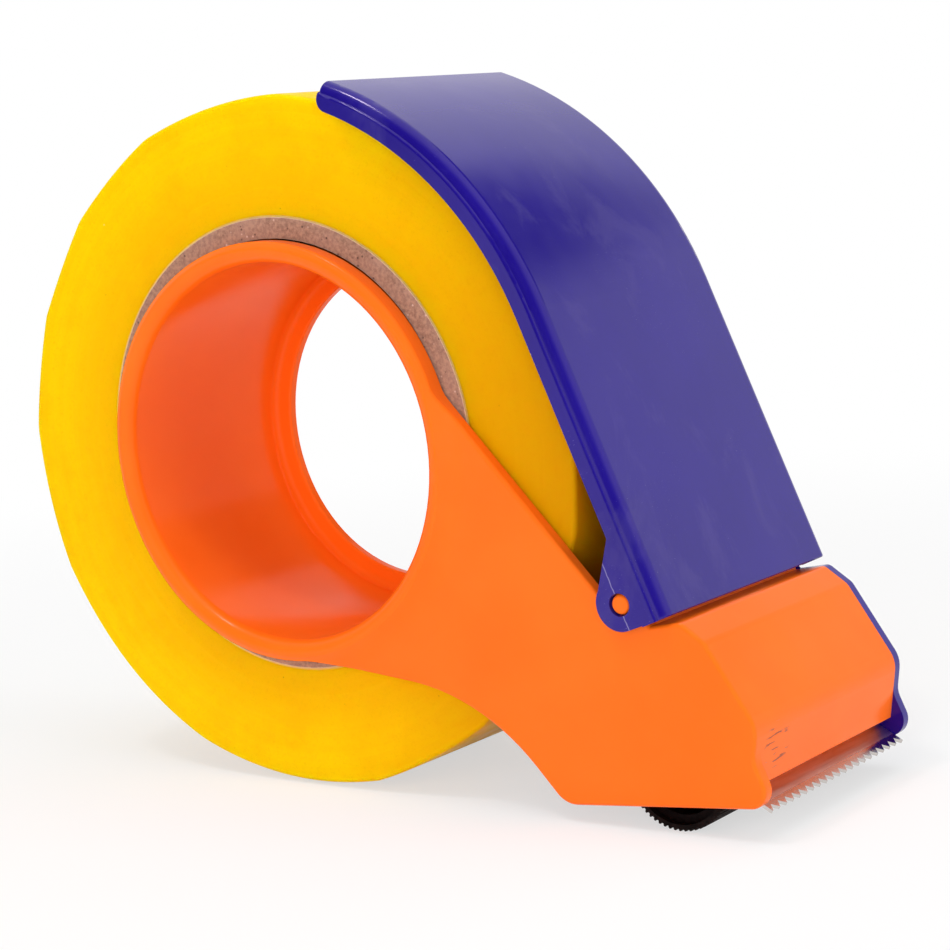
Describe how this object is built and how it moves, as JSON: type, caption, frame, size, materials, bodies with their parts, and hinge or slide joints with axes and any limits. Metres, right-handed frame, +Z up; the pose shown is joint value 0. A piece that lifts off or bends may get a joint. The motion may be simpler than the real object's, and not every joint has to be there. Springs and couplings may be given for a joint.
{
  "type": "tape dispenser",
  "caption": "Hand-held packing tape dispenser: open hub with a loaded tape roll, hinged curved cover over the roll, ridged roller and toothed cutting blade at the nose.",
  "frame": {"origin": "on the hub axis, midway between the two side faces of the tape", "axes": "+X forward to the cutting blade, +Y along the hub axis to the open far side, +Z up; the dispenser stands on its roll and roller at z = -63.5 mm"},
  "size_m": [0.1633, 0.0576, 0.13],
  "materials": {
    "orange_plastic": "glossy moulded",
    "blue_plastic": "glossy moulded",
    "blade_steel": "stamped",
    "screw_steel": "plated",
    "black_rubber": "ridged",
    "black_plastic": "moulded",
    "cardboard": "raw wound cardboard",
    "yellow_tape": "wound adhesive film"
  },
  "bodies": {
    "frame_body": {"main_frame": "orange_plastic", "nose_cheek": "blue_plastic", "cutting_blade": "blade_steel", "blade_screws": "screw_steel", "cheek_screws": "screw_steel", "roller_axle": "screw_steel"},
    "cover_body": {"guard_cover": "blue_plastic"},
    "roll_body": {"tape_core": "cardboard", "tape_roll": "yellow_tape"},
    "roller_body": {"roller_sleeve": "black_rubber", "roller_core": "black_plastic"}
  },
  "joints": [
    {"name": "cover_hinge", "type": "hinge", "parent": "frame_body", "child": "cover_body", "pos_m": [0.07392, 0, -0.0238], "axis": [0, 1, 0], "range_deg": [0, 8]},
    {"name": "roll_spin", "type": "hinge", "parent": "frame_body", "child": "roll_body", "pos_m": [0, 0, 0.001], "axis": [0, 1, 0], "continuous": true},
    {"name": "roller_spin", "type": "hinge", "parent": "frame_body", "child": "roller_body", "pos_m": [0.08032, 0, -0.0535], "axis": [0, 1, 0], "continuous": true}
  ]
}
